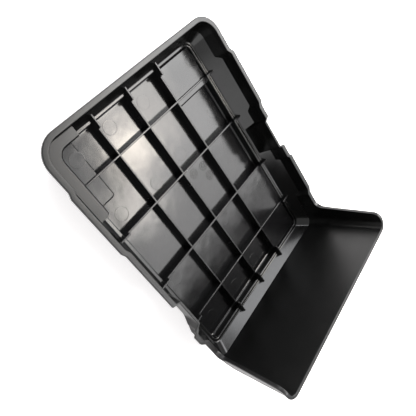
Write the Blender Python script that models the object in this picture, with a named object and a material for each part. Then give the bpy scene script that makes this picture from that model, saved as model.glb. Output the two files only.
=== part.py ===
"""Moulded cover for a car battery, lying on its outer face with the open side up.

The cover is one polypropylene moulding. It is built here as the separate shapes that its
feature lines divide it into: panel, riser, ledge, shoulders, skirts, rims, front apron,
stiffening ribs and raised lands. X is across, +Y is the back, -Y is the apron side, and
+Z comes out of the open side. The origin is in the middle of the panel's outer face.
"""

import math
from collections import namedtuple

import bmesh
import bpy

# Fits
WALL = 0.0025                 # wall of the moulding
GAP = 0.0003                  # clearance between pieces that touch

# Inside of the panel recess
RECESS_HALF_WIDTH = 0.0813
RECESS_BACK = 0.1115
RECESS_FRONT = 0.113
RECESS_CORNER = 0.005
LEDGE_CORNER = 0.008
RECESS_DEPTH = 0.0085         # from the ledge down to the panel

# Steps outwards and upwards from the recess
LEDGE_WIDTH_SIDE = 0.004
LEDGE_WIDTH_BACK = 0.0033
SHOULDER_RUN_SIDE = 0.0072
SHOULDER_RUN_BACK = 0.0065
SHOULDER_RISE = 0.0105
SHOULDER_CORNER_BACK = 0.013
SHOULDER_CORNER_FRONT = 0.0085
SKIRT_CORNER_GROWTH = 0.002   # how much the back corner's radius grows up the skirt
SKIRT_DRAFT = 0.0027          # outward lean of the side skirts
SKIRT_DRAFT_BACK = 0.0015
SKIRT_RISE = 0.0155
RIM_WIDTH = 0.0046
RIM_THICK = 0.0023

# Plan jogs of the side skirts, from the back end, from the notch and from the front end
BACK_JOG_SETBACK = 0.0215
JOG_RAMP = 0.006
NOTCH_JOG_RAMP = 0.003        # the shorter ramp in front of the notch
FRONT_JOG_SETBACK = 0.029
NOTCH_RAMP = 0.003
NOTCH_FOOT_ABOVE_LEDGE = 0.0015
NOTCH_FOOT_PAST_LEDGE = 0.0012

# How far the skirt stands out along the rear, beside the notch and along the front
Bulge = namedtuple("Bulge", "rear middle front")
BULGES = {1: Bulge(0.003, 0.0005, 0.0028), -1: Bulge(0.0017, 0.0, 0.0034)}

# Each notch: its back end, its front end, the lengths of the plain stretches beside it, and how
# far the skirt's top steps in at it
Notch = namedtuple("Notch", "back front rear_lap front_lap top_step")
NOTCHES = {
    1: Notch(0.0125, -0.017, 0.012, 0.012, 0.003),
    -1: Notch(-0.036, -0.0635, 0.059, 0.0005, 0.0045),
}

# Apron
APRON_HEIGHT = 0.1036         # its rim's top, above the panel's outer face
APRON_LEAN = 0.0069           # how far its top stands out past its foot
CHEEK_SETBACK = 0.0258        # from the shoulder's front to where the cheek's edge turns up
CHEEK_FILLET = 0.010
CHEEK_LEAN = 0.0085
CHEEK_SPREAD = 0.0013
APRON_CORNER = 0.006
APRON_CROWN_CORNER = 0.0055   # round corner between the cheek's edge and its top
APRON_RIM_OUT = 0.0008

# Ribs
RIB_THICK = 0.0018
RIB_DEPTH = 0.0085
LONG_RIB_PITCH = 0.03835
LONG_RIB_CENTRE = -0.0018
CROSS_RIB_MIDDLE_PITCH = 0.056
CROSS_RIB_PITCH = 0.051
CROSS_RIB_CENTRE = 0.0005
RIB_END_RISE = 0.0044
RIB_END_LENGTH_SIDE = 0.0035  # how far the raised ends reach in over the panel
RIB_END_LENGTH_BACK = 0.0055
RIB_END_LENGTH_FRONT = 0.007

# Raised lands on the panel and the pad on the back left corner
LAND_RISE = 0.007             # 1.5 mm short of the ribs' tops
LAND_CORNER = 0.003
SIDE_LAND_WIDTH = 0.0170
SIDE_LAND_PAST_RIB = 0.0215
BACK_LAND_PAST_RIB = 0.0050
PAD_RISE = 0.0100             # above the ledge
PAD_BACK_LENGTH = 0.0210      # along the back, from the recess's side
PAD_SIDE_LENGTH = 0.0580      # along the side, from the recess's back

ARC_STEPS = 6
POLYPROPYLENE = (0.012, 0.012, 0.013, 1.0)

LEDGE_Z = WALL + RECESS_DEPTH
SHOULDER_Z = LEDGE_Z + SHOULDER_RISE
SKIRT_TOP_Z = SHOULDER_Z + SKIRT_RISE - RIM_THICK - GAP
RIM_Z = SHOULDER_Z + SKIRT_RISE - RIM_THICK
RIM_TOP_Z = SHOULDER_Z + SKIRT_RISE
APRON_EDGE_Z = APRON_HEIGHT - RIM_THICK - GAP

Level = namedtuple("Level", "half_width back front back_corner front_corner z")
RECESS = Level(RECESS_HALF_WIDTH, RECESS_BACK, RECESS_FRONT, RECESS_CORNER, RECESS_CORNER, LEDGE_Z)


def stepped(level, side, back, back_corner, front_corner, rise):
    """A level further out and further up than another."""
    return Level(level.half_width + side, level.back + back, level.front + back,
                 back_corner, front_corner, level.z + rise)


def thickened(level, by=WALL):
    """The outer skin of a level, the wall's thickness further out."""
    return Level(level.half_width + by, level.back + by, level.front + by,
                 level.back_corner + by, level.front_corner + by, level.z)


def at_height(level, z):
    """The same plan at another height."""
    return level._replace(z=z)


LEDGE_OUT = stepped(RECESS, LEDGE_WIDTH_SIDE, LEDGE_WIDTH_BACK, LEDGE_CORNER, LEDGE_CORNER, 0.0)
SHOULDER_TOP = stepped(LEDGE_OUT, SHOULDER_RUN_SIDE, SHOULDER_RUN_BACK,
                       SHOULDER_CORNER_BACK, SHOULDER_CORNER_FRONT, SHOULDER_RISE)
SKIRT_TOP = stepped(SHOULDER_TOP, SKIRT_DRAFT, SKIRT_DRAFT_BACK,
                    SHOULDER_CORNER_BACK + SKIRT_CORNER_GROWTH, SHOULDER_CORNER_FRONT, SKIRT_RISE)
RIM_OUT = stepped(SKIRT_TOP, RIM_WIDTH, RIM_WIDTH, SKIRT_TOP.back_corner + RIM_WIDTH,
                  SHOULDER_CORNER_FRONT + RIM_WIDTH, 0.0)
CHEEK_START = CHEEK_SETBACK - SHOULDER_TOP.front
NOTCH_FOOT_DROP = SHOULDER_RISE - NOTCH_FOOT_ABOVE_LEDGE
NOTCH_FOOT_STEP = SHOULDER_RUN_SIDE - NOTCH_FOOT_PAST_LEDGE
SHOULDER_SLOPE = SHOULDER_RISE / SHOULDER_RUN_SIDE


def share(value, start, end):
    """How far a value has gone from start to end, kept between 0 and 1."""
    return min(1.0, max(0.0, (value - start) / (end - start)))


def plan_breaks(side):
    """The places along a side where its plan turns, from the front to the back."""
    notch = NOTCHES[side]
    back_jog = RECESS_BACK - BACK_JOG_SETBACK
    front_jog = -RECESS_FRONT + FRONT_JOG_SETBACK
    rear_end = notch.back + NOTCH_RAMP + notch.rear_lap
    front_end = notch.front - NOTCH_RAMP - notch.front_lap
    return [
        front_jog, front_jog + JOG_RAMP,
        front_end - NOTCH_JOG_RAMP, front_end,
        notch.front - NOTCH_RAMP, notch.front,
        notch.back, notch.back + NOTCH_RAMP,
        rear_end, rear_end + JOG_RAMP,
        back_jog - JOG_RAMP, back_jog,
    ]


def bulge(side, y):
    """How far the skirt stands out of its plain line at a place along a side."""
    b = plan_breaks(side)
    out = BULGES[side]
    amount = out.front * share(y, b[0], b[1])
    amount += (out.middle - out.front) * share(y, b[2], b[3])
    amount += (out.rear - out.middle) * share(y, b[8], b[9])
    amount -= out.rear * share(y, b[10], b[11])
    return amount


def notch_share(side, y):
    """1 inside the side's notch, 0 outside it, sloping between."""
    b = plan_breaks(side)
    return share(y, b[4], b[5]) * (1.0 - share(y, b[6], b[7]))


def side_point(level, side, y, step=0.0):
    """A point of a level's side, stepped in where the notch is."""
    notch = notch_share(side, y)
    out = bulge(side, y) * (1.0 - notch)
    return (side * (level.half_width + out - step * notch), y, level.z)


def foot_point(level, side, y):
    """A point of the skirt's foot: it climbs the shoulder's plane, and drops at the notch."""
    notch = notch_share(side, y)
    x, _, z = side_point(level, side, y, NOTCH_FOOT_STEP)
    climb = SHOULDER_SLOPE * bulge(side, y) * (1.0 - notch)
    return (x, y, z + climb - NOTCH_FOOT_DROP * notch)


def side_stations(side, start, end):
    """The places along a side where sections are taken, from start to end."""
    inner = {y for y in plan_breaks(side) if start < y < end}
    return [start] + sorted(inner) + [end]


def corner_points(level, side, end, steps=ARC_STEPS):
    """The quarter circle of a corner, from the side round to the back or front."""
    radius = level.back_corner if end > 0 else level.front_corner
    reach = level.back if end > 0 else level.front
    points = []
    for k in range(steps + 1):
        angle = 0.5 * math.pi * k / steps
        x = level.half_width - radius + radius * math.cos(angle)
        y = reach - radius + radius * math.sin(angle)
        points.append((side * x, end * y, level.z))
    return points


def outline(level):
    """The whole closed plan of a level without jogs, anticlockwise."""
    points = corner_points(level, 1, 1)
    points += corner_points(level, -1, 1)[::-1]
    points += corner_points(level, -1, -1)
    points += corner_points(level, 1, -1)[::-1]
    return points


def finish_mesh(name, bm, smooth=True):
    """Turn a bmesh into a named object with its own material."""
    bmesh.ops.remove_doubles(bm, verts=bm.verts, dist=1e-6)
    bmesh.ops.recalc_face_normals(bm, faces=bm.faces)
    mesh = bpy.data.meshes.new(name)
    bm.to_mesh(mesh)
    bm.free()
    if smooth:
        mesh.shade_smooth()
        mesh.set_sharp_from_angle(angle=math.radians(30))
    material = bpy.data.materials.new(name + "_polypropylene")
    material.use_nodes = True
    shader = material.node_tree.nodes["Principled BSDF"]
    shader.inputs["Base Color"].default_value = POLYPROPYLENE
    shader.inputs["Roughness"].default_value = 0.3
    shader.inputs["Metallic"].default_value = 0.0
    mesh.materials.append(material)
    item = bpy.data.objects.new(name, mesh)
    bpy.context.scene.collection.objects.link(item)
    return item


def add_loop(bm, points):
    """Add a closed loop of vertices and edges."""
    verts = [bm.verts.new(p) for p in points]
    edges = [bm.edges.new((verts[i], verts[(i + 1) % len(verts)])) for i in range(len(verts))]
    return verts, edges


def sweep(name, sections):
    """Extrude a closed section through its later shapes, and cap both ends."""
    bm = bmesh.new()
    ring, edges = add_loop(bm, sections[0])
    bm.faces.new(ring[::-1])
    for section in sections[1:]:
        made = bmesh.ops.extrude_edge_only(bm, edges=edges)["geom"]
        fresh = {item for item in made if isinstance(item, bmesh.types.BMVert)}
        ring = [next(e.other_vert(v) for e in v.link_edges if e.other_vert(v) in fresh) for v in ring]
        for vert, point in zip(ring, section):
            vert.co = point
        edges = [bm.edges.get((ring[i], ring[(i + 1) % len(ring)])) for i in range(len(ring))]
    bm.faces.new(ring)
    return finish_mesh(name, bm)


def prism(name, points, shift, smooth=False):
    """Extrude a flat outline by a vector."""
    bm = bmesh.new()
    verts, _ = add_loop(bm, points)
    face = bm.faces.new(verts)
    made = bmesh.ops.extrude_face_region(bm, geom=[face])["geom"]
    moved = [item for item in made if isinstance(item, bmesh.types.BMVert)]
    bmesh.ops.translate(bm, verts=moved, vec=shift)
    return finish_mesh(name, bm, smooth)


def ring_plate(name, inner, outer, z, height):
    """A flat ring between two outlines, extruded upwards."""
    bm = bmesh.new()
    inner_edges = add_loop(bm, outline(at_height(inner, z)))[1]
    outer_edges = add_loop(bm, outline(at_height(outer, z)))[1]
    faces = bmesh.ops.bridge_loops(bm, edges=inner_edges + outer_edges)["faces"]
    made = bmesh.ops.extrude_face_region(bm, geom=faces)["geom"]
    moved = [item for item in made if isinstance(item, bmesh.types.BMVert)]
    bmesh.ops.translate(bm, verts=moved, vec=(0.0, 0.0, height))
    return finish_mesh(name, bm)


def build_panel():
    """The flat outer panel, the riser round its recess, and the ledge on the riser."""
    riser_out = thickened(RECESS)
    prism("outer_panel", outline(at_height(riser_out, 0.0)), (0.0, 0.0, WALL), smooth=True)
    ring_plate("recess_riser", RECESS, riser_out, WALL + GAP, RECESS_DEPTH - WALL - 2.0 * GAP)
    ring_plate("ledge", RECESS, thickened(LEDGE_OUT), LEDGE_Z - WALL, WALL)


def corner_sections(low, high, side, end):
    """Sections of a sloping wall round one corner."""
    rows = [corner_points(level, side, end) for level in (low, high, thickened(high), thickened(low))]
    return [list(corners) for corners in zip(*rows)]


def build_shoulders():
    """The sloping band between the ledge and the skirts."""
    low = at_height(LEDGE_OUT, LEDGE_Z + GAP)
    high = SHOULDER_TOP
    for side, word in ((-1, "left"), (1, "right")):
        ends = [(-level.front + level.front_corner + GAP, level.back - level.back_corner - GAP)
                for level in (low, high)]
        places = side_stations(side, *ends[1])
        low_places = [ends[0][0]] + places[1:-1] + [ends[0][1]]
        sections = []
        for y, low_y in zip(places, low_places):
            sections.append([
                (side * low.half_width, low_y, low.z),
                foot_point(high, side, y),
                foot_point(thickened(high), side, y),
                (side * (low.half_width + WALL), low_y, low.z),
            ])
        sweep("shoulder_" + word, sections)
    for end, word in ((1, "back"), (-1, "front")):
        sections = corner_sections(low, high, -1, end)
        sections += corner_sections(low, high, 1, end)[::-1]
        sweep("shoulder_" + word, sections)


def skirt_levels():
    """The foot and the top of the skirts, clear of the shoulder and of the rim."""
    foot = at_height(SHOULDER_TOP, SHOULDER_Z + GAP)
    top = at_height(SKIRT_TOP, SKIRT_TOP_Z)
    return foot, top


def build_skirts():
    """The upright skirts: two jogged sides and the back with both its corners."""
    foot, top = skirt_levels()
    for side, word in ((-1, "left"), (1, "right")):
        end = top.back - top.back_corner - GAP
        step = NOTCHES[side].top_step
        sections = []
        for y in side_stations(side, CHEEK_START + GAP, end):
            sections.append([
                foot_point(foot, side, y),
                side_point(top, side, y, step),
                side_point(thickened(top), side, y, step),
                foot_point(thickened(foot), side, y),
            ])
        sweep("skirt_" + word, sections)
    lined_up = foot._replace(back_corner=foot.back - top.back + top.back_corner)
    sections = corner_sections(lined_up, top, -1, 1)
    sections += corner_sections(lined_up, top, 1, 1)[::-1]
    sweep("skirt_back", sections)


def rim_section(side, y):
    """The rim's section at a place along a side: wide, or only the wall's width at the notch."""
    inner = at_height(SKIRT_TOP, RIM_Z)
    outer = at_height(RIM_OUT, RIM_Z)
    step = NOTCHES[side].top_step
    narrowing = step + RIM_WIDTH - WALL
    low = [side_point(inner, side, y, step), side_point(outer, side, y, narrowing)]
    high = [(x, y_at, z + RIM_THICK) for x, y_at, z in low]
    return [low[0], high[0], high[1], low[1]]


def build_rims():
    """The turned-out rim on the skirts, in the stretches that the notches divide it into."""
    inner = at_height(SKIRT_TOP, RIM_Z)
    outer = at_height(RIM_OUT, RIM_Z)
    end = inner.back - inner.back_corner - GAP
    for side, word in ((-1, "left"), (1, "right")):
        notch = NOTCHES[side]
        front = notch.front - NOTCH_RAMP
        back = notch.back + NOTCH_RAMP
        stretches = (
            ("rim_" + word + "_front", CHEEK_START + GAP, front - GAP),
            ("notch_edge_" + word, front, back),
            ("rim_" + word + "_rear", back + GAP, end),
        )
        for name, low, high in stretches:
            sweep(name, [rim_section(side, y) for y in side_stations(side, low, high)])
    sections = []
    for side in (-1, 1):
        rows = [corner_points(level, side, 1) for level in (inner, outer)]
        corner = []
        for low_in, low_out in zip(*rows):
            high_in = (low_in[0], low_in[1], low_in[2] + RIM_THICK)
            high_out = (low_out[0], low_out[1], low_out[2] + RIM_THICK)
            corner.append([low_in, high_in, high_out, low_out])
        sections += corner if side < 0 else corner[::-1]
    sweep("rim_back", sections)


def apron_half_width(z):
    """Inner half width between the cheeks at a height."""
    if z <= RIM_TOP_Z:
        return SHOULDER_TOP.half_width + SKIRT_DRAFT * share(z, SHOULDER_Z, RIM_TOP_Z)
    return SKIRT_TOP.half_width + CHEEK_SPREAD * share(z, RIM_TOP_Z, APRON_HEIGHT)


def apron_reach(z):
    """How far the apron's inner face stands from the origin at a height."""
    return SHOULDER_TOP.front + APRON_LEAN * share(z, SHOULDER_Z, APRON_HEIGHT)


def apron_corner(z):
    """Plan radius between cheek and apron, tightening above the shoulder."""
    tight = share(z, SHOULDER_Z, RIM_TOP_Z + CHEEK_FILLET)
    return SHOULDER_CORNER_FRONT + (APRON_CORNER - SHOULDER_CORNER_FRONT) * tight


def cheek_edge():
    """The free edge of a cheek: up a fillet, up its length and round its top corner, as (y, z)."""
    low = RIM_Z - GAP
    points = []
    for k in range(ARC_STEPS + 1):
        angle = 0.5 * math.pi * k / ARC_STEPS
        y = CHEEK_START - CHEEK_FILLET * math.sin(angle)
        points.append((y, low + CHEEK_FILLET * (1.0 - math.cos(angle))))
    top = points[-1][0] - CHEEK_LEAN
    for k in range(ARC_STEPS + 1):
        angle = 0.5 * math.pi * k / ARC_STEPS
        y = top - APRON_CROWN_CORNER * (1.0 - math.cos(angle))
        points.append((y, APRON_EDGE_Z - APRON_CROWN_CORNER * (1.0 - math.sin(angle))))
    return points


def cheek_plan(side, y_start, z, out=0.0):
    """Plan curve of a cheek's face at a height, from its free edge round to the apron."""
    half = apron_half_width(z) + out
    radius = apron_corner(z) + out
    reach = apron_reach(z) + out
    points = [(side * half, y_start, z)]
    for k in range(ARC_STEPS + 1):
        angle = 0.5 * math.pi * k / ARC_STEPS
        x = half - radius + radius * math.cos(angle)
        points.append((side * x, -(reach - radius + radius * math.sin(angle)), z))
    return points


def build_cheeks():
    """The cheeks at both ends of the apron, with the round corners that join it."""
    foot = SHOULDER_Z + GAP
    edge = [(CHEEK_START, foot)] + cheek_edge()
    for side, word in ((-1, "left"), (1, "right")):
        sections = []
        for y, z in edge:
            inside = cheek_plan(side, y, z)
            outside = cheek_plan(side, y, z, WALL)
            sections.append(inside + outside[::-1])
        sweep("cheek_" + word, sections)


def build_apron():
    """The leaning front panel between the cheeks."""
    sections = []
    for z in [SHOULDER_Z + GAP] + [height for _, height in cheek_edge()]:
        half = apron_half_width(z) - apron_corner(z) - GAP
        reach = apron_reach(z)
        sections.append([(-half, -reach, z), (half, -reach, z),
                         (half, -reach - WALL, z), (-half, -reach - WALL, z)])
    sweep("apron_panel", sections)


def build_cheek_rims():
    """The rim up each cheek's free edge, over its top and round to the apron."""
    edge = cheek_edge()
    width = WALL + APRON_RIM_OUT
    for side, word in ((-1, "left"), (1, "right")):
        sections = []
        for k, (y, z) in enumerate(edge):
            before = edge[max(k - 1, 0)]
            after = edge[min(k + 1, len(edge) - 1)]
            along = (after[0] - before[0], after[1] - before[1])
            if k in (0, len(edge) - 1):
                along = (-1.0, 0.0)
            length = math.hypot(*along)
            normal = (along[1] / length, -along[0] / length)
            half = apron_half_width(z)
            corners = []
            for out, up in ((0.0, GAP), (0.0, GAP + RIM_THICK), (width, GAP + RIM_THICK), (width, GAP)):
                corners.append((side * (half + out), y + normal[0] * up, z + normal[1] * up))
            sections.append(corners)
        low = APRON_EDGE_Z + GAP
        inside = cheek_plan(side, edge[-1][0], APRON_EDGE_Z)[1:]
        outside = cheek_plan(side, edge[-1][0], APRON_EDGE_Z, width)[1:]
        for near, far in zip(inside, outside):
            sections.append([(near[0], near[1], low), (near[0], near[1], low + RIM_THICK),
                             (far[0], far[1], low + RIM_THICK), (far[0], far[1], low)])
        sweep("rim_cheek_" + word, sections)
    half = apron_half_width(APRON_EDGE_Z) - apron_corner(APRON_EDGE_Z) - GAP
    near = -apron_reach(APRON_EDGE_Z)
    low = APRON_EDGE_Z + GAP
    corners = [(-half, near, low), (half, near, low), (half, near - width, low), (-half, near - width, low)]
    prism("rim_apron", corners, (0.0, 0.0, RIM_THICK))


def long_rib_places():
    """X of each rib that runs from front to back."""
    return [LONG_RIB_CENTRE + k * LONG_RIB_PITCH for k in (-1, 0, 1)]


def cross_rib_places():
    """Y of each rib that runs across, from the back."""
    near = 0.5 * CROSS_RIB_MIDDLE_PITCH
    far = near + CROSS_RIB_PITCH
    return [CROSS_RIB_CENTRE + y for y in (far, near, -near, -far)]


def rib_outline(low_end, high_end, run, slots, from_top, plain_start=False):
    """Side view of a rib as (along, z): stepped ends over the ledge, and slots where ribs cross.

    low_end and high_end are the recess's two sides, each with its raised end's length inwards.
    run is the ledge's width there with the slope of the shoulder past it. A plain start stops
    at the recess's side.
    """
    bottom = WALL + GAP
    top = WALL + RIB_DEPTH
    raised = top + RIB_END_RISE
    over = LEDGE_Z + GAP
    middle = 0.5 * (bottom + top)
    slot = 0.5 * RIB_THICK + GAP
    ledge, slope = run

    def end(place, length, sign):
        foot = place + sign * (ledge - 2.0 * GAP)
        tip = foot + sign * (raised - over) * slope
        return [(place - sign * GAP, bottom), (place - sign * GAP, over), (foot, over),
                (tip, raised), (place - sign * length, raised), (place - sign * length, top)]

    points = end(*low_end, -1.0)[::-1]
    if plain_start:
        points = [(low_end[0] + GAP, top), (low_end[0] + GAP, bottom)]
    if not from_top:
        for place in slots:
            points += [(place - slot, bottom), (place - slot, middle + GAP),
                       (place + slot, middle + GAP), (place + slot, bottom)]
    points += end(*high_end, 1.0)
    if from_top:
        for place in sorted(slots, reverse=True):
            points += [(place + slot, top), (place + slot, middle),
                       (place - slot, middle), (place - slot, top)]
    return points


def build_ribs():
    """The ribs: the long ones are slotted from above and the cross ones from below."""
    side_run = (LEDGE_WIDTH_SIDE, SHOULDER_RUN_SIDE / SHOULDER_RISE)
    end_run = (LEDGE_WIDTH_BACK, SHOULDER_RUN_BACK / SHOULDER_RISE)
    front = (-RECESS_FRONT, RIB_END_LENGTH_FRONT)
    back = (RECESS_BACK, RIB_END_LENGTH_BACK)
    left = (-RECESS_HALF_WIDTH, RIB_END_LENGTH_SIDE)
    right = (RECESS_HALF_WIDTH, RIB_END_LENGTH_SIDE)
    half = 0.5 * RIB_THICK
    for number, x in enumerate(long_rib_places(), start=1):
        view = rib_outline(front, back, end_run, cross_rib_places(), True)
        points = [(x - half, y, z) for y, z in view]
        prism(f"long_rib_{number}", points, (RIB_THICK, 0.0, 0.0))
    for number, y in enumerate(cross_rib_places(), start=1):
        view = rib_outline(left, right, side_run, long_rib_places(), False, plain_start=number == 1)
        points = [(x, y - half, z) for x, z in view]
        prism(f"cross_rib_{number}", points, (0.0, RIB_THICK, 0.0))


def land(name, x0, x1, y0, y1, rounded=()):
    """A raised land between two corners, with the named corners rounded."""
    points = []
    for index, (x, y) in enumerate(((x0, y0), (x1, y0), (x1, y1), (x0, y1))):
        if index not in rounded:
            points.append((x, y, WALL + GAP))
            continue
        inward_x = LAND_CORNER if x == x0 else -LAND_CORNER
        inward_y = LAND_CORNER if y == y0 else -LAND_CORNER
        start = math.atan2(-inward_y, -inward_x) - 0.25 * math.pi
        for k in range(ARC_STEPS + 1):
            angle = start + 0.5 * math.pi * k / ARC_STEPS
            points.append((x + inward_x + LAND_CORNER * math.cos(angle),
                           y + inward_y + LAND_CORNER * math.sin(angle), WALL + GAP))
    prism(name, points, (0.0, 0.0, LAND_RISE - GAP))


def build_lands():
    """The raised lands on the panel, kept clear of the ribs that cross them."""
    clear = 0.5 * RIB_THICK + GAP
    left = -RECESS_HALF_WIDTH + GAP
    right = RECESS_HALF_WIDTH - GAP
    back = RECESS_BACK - GAP
    front = -RECESS_FRONT + GAP
    long_ribs = long_rib_places()
    cross_ribs = cross_rib_places()
    side_edge = left + SIDE_LAND_WIDTH
    corner = RECESS_CORNER * (1.0 - math.sqrt(0.5))
    land("land_back_right", long_ribs[2] + clear, right - corner, cross_ribs[0] + clear,
         back - corner)
    land("land_back_right_step", long_ribs[2] + clear, right,
         cross_ribs[0] - clear - BACK_LAND_PAST_RIB, cross_ribs[0] - clear)
    land("land_side_rear", left + corner, side_edge, cross_ribs[0] + clear, back - corner)
    land("land_side_front", left, side_edge, cross_ribs[0] - SIDE_LAND_PAST_RIB,
         cross_ribs[0] - clear, rounded=(1,))
    land("land_front_right", long_ribs[2] + clear, right - corner, front + corner,
         cross_ribs[3] - clear)
    land("land_front_right_rear", long_ribs[2] + clear, right, cross_ribs[3] + clear,
         cross_ribs[2] - clear)


def build_pad():
    """The raised pad on the back left corner, filling the ledge and the shoulder's lower part."""
    low = LEDGE_Z + 2.0 * GAP
    high = LEDGE_Z + PAD_RISE
    climb = PAD_RISE / SHOULDER_RISE
    inner = RECESS
    foot = Level(LEDGE_OUT.half_width - 2.0 * GAP, LEDGE_OUT.back - 2.0 * GAP, LEDGE_OUT.front,
                 LEDGE_OUT.back_corner, LEDGE_OUT.front_corner, low)
    tip = Level(foot.half_width + SHOULDER_RUN_SIDE * climb - GAP,
                foot.back + SHOULDER_RUN_BACK * climb - GAP, foot.front,
                LEDGE_OUT.back_corner + (SHOULDER_TOP.back_corner - LEDGE_OUT.back_corner) * climb,
                LEDGE_OUT.front_corner, high)
    rows = []
    for level in (at_height(inner, low), at_height(inner, high), tip, foot):
        row = [(-level.half_width, RECESS_BACK - PAD_SIDE_LENGTH, level.z)]
        row += corner_points(level, -1, 1)
        row.append((-RECESS_HALF_WIDTH + PAD_BACK_LENGTH, level.back, level.z))
        rows.append(row)
    sweep("corner_pad", [list(corners) for corners in zip(*rows)])


def main():
    """Clear the file and build the cover."""
    for item in list(bpy.data.objects):
        bpy.data.objects.remove(item, do_unlink=True)
    build_panel()
    build_shoulders()
    build_skirts()
    build_rims()
    build_cheeks()
    build_apron()
    build_cheek_rims()
    build_ribs()
    build_lands()
    build_pad()


main()
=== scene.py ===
"""Looks of the moulded cover for a car battery, lying on its outer face with its open side up.

The cover is one polypropylene moulding. Its walls are built as one seamless shell that goes from
the panel up the riser, over the ledge, up the shoulder and the skirt, round the rim and back down
the outside. Ribs, lands, the corner pad, ejector marks and mould dials stand on that shell.
All sizes are in metres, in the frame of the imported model.
"""

import logging
import math
from dataclasses import astuple, dataclass, field, replace
from enum import Enum
from typing import Iterable, Sequence

import bmesh
import bpy
from mathutils import Matrix, Vector


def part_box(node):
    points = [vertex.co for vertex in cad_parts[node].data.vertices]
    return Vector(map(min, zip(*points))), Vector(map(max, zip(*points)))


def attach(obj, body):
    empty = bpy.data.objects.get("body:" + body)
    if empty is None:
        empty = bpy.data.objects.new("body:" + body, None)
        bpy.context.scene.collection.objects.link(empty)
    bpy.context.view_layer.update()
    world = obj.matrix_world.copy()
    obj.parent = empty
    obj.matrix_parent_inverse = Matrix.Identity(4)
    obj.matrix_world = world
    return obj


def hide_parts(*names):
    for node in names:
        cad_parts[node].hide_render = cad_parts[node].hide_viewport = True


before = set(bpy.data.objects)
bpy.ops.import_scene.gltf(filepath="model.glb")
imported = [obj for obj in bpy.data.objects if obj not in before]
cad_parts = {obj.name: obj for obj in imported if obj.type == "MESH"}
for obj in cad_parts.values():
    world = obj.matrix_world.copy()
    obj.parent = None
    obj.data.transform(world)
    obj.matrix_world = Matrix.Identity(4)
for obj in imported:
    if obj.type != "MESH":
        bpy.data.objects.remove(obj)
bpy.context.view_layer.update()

log = logging.getLogger("battery_cover")

MM = 0.001
BODY = "root"
QUARTER = 0.5 * math.pi
PREFIX = "moulded_"


class Slot(Enum):
    """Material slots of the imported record."""

    SHELL = "shell"
    PANEL = "panel"
    RIB = "rib"
    RIM = "rim"


class Zone(Enum):
    """Parts of the shell's surface that left the mould with different finishes."""

    PANEL = 0
    WALL = 1
    RIM = 2
    APRON = 3
    OUTSIDE = 4


class Stretch(Enum):
    """The straight and round stretches of the shell's plan."""

    SIDE = "side"
    CORNER = "corner"
    END = "end"


# Modelling helpers


def deselect_all() -> None:
    """Leave nothing selected and nothing active."""
    bpy.ops.object.select_all(action="DESELECT")
    bpy.context.view_layer.objects.active = None


def activate(piece: bpy.types.Object) -> None:
    """Make one piece the only selected and active object."""
    deselect_all()
    piece.select_set(True)
    bpy.context.view_layer.objects.active = piece


def place_vertices(mesh: bpy.types.Mesh, points: Sequence[Vector]) -> None:
    """Put the vertices of a primitive on the points of an outline, in order."""
    for vertex, point in zip(mesh.vertices, points):
        vertex.co = point


def start_ring(name: str, points: Sequence[Vector], filled: bool) -> bpy.types.Object:
    """Add a circle primitive and shape it to a closed outline.

    Args:
        name: name of the new piece.
        points: the outline's points in order.
        filled: whether the ring is closed by a face.

    Returns:
        The new object, at the origin.
    """
    deselect_all()
    fill = "NGON" if filled else "NOTHING"
    bpy.ops.mesh.primitive_circle_add(vertices=len(points), radius=1.0, fill_type=fill)
    piece = bpy.context.object
    piece.name = name
    piece.data.name = name
    place_vertices(piece.data, points)
    return piece


def extruded_ring(bm: bmesh.types.BMesh, ring: Sequence[int]) -> list[int]:
    """Indices of the freshly extruded vertices, in the order of the ring they came from."""
    bm.verts.ensure_lookup_table()
    bm.verts.index_update()
    fresh = []
    for index in ring:
        old = bm.verts[index]
        fresh.append(next(e.other_vert(old).index for e in old.link_edges if e.other_vert(old).select))
    return fresh


def loft(name: str, loops: Sequence[Sequence[Vector]], zones: Sequence[Zone] | None = None,
         caps: bool = True) -> bpy.types.Object:
    """Extrude a ring through a row of loops, as a section is pulled along its path.

    Args:
        name: name of the new piece.
        loops: closed loops with the same number of points each.
        zones: the finish zone of each band between two loops.
        caps: whether the first and last loops are closed by a face.

    Returns:
        The new object with faces pointing outwards.
    """
    piece = start_ring(name, loops[0], filled=False)
    bpy.ops.object.mode_set(mode="EDIT")
    bpy.ops.mesh.select_mode(type="VERT")
    bpy.ops.mesh.select_all(action="SELECT")
    if caps:
        bpy.ops.mesh.edge_face_add()
    ring = list(range(len(loops[0])))
    for row, loop in enumerate(loops[1:]):
        bpy.ops.mesh.extrude_edges_move()
        bm = bmesh.from_edit_mesh(piece.data)
        ring = extruded_ring(bm, ring)
        for index, point in zip(ring, loop):
            bm.verts[index].co = point
        if zones is not None:
            for index in ring:
                for face in bm.verts[index].link_faces:
                    face.material_index = zones[row].value
        bmesh.update_edit_mesh(piece.data)
    if caps:
        bpy.ops.mesh.edge_face_add()
    bpy.ops.mesh.select_all(action="SELECT")
    bpy.ops.mesh.remove_doubles(threshold=1e-7)
    bpy.ops.mesh.select_all(action="SELECT")
    bpy.ops.mesh.normals_make_consistent(inside=False)
    bpy.ops.object.mode_set(mode="OBJECT")
    return piece


def prism(name: str, outline: Sequence[Vector], shift: Vector) -> bpy.types.Object:
    """Extrude a flat closed outline by a vector.

    Args:
        name: name of the new piece.
        outline: the flat outline's points in order.
        shift: how far and which way the outline is pulled.

    Returns:
        The closed solid.
    """
    piece = start_ring(name, outline, filled=True)
    bpy.ops.object.mode_set(mode="EDIT")
    bpy.ops.mesh.select_all(action="SELECT")
    bpy.ops.mesh.extrude_region_move(TRANSFORM_OT_translate={"value": shift})
    bpy.ops.mesh.select_all(action="SELECT")
    bpy.ops.mesh.normals_make_consistent(inside=False)
    bpy.ops.object.mode_set(mode="OBJECT")
    return piece


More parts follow.
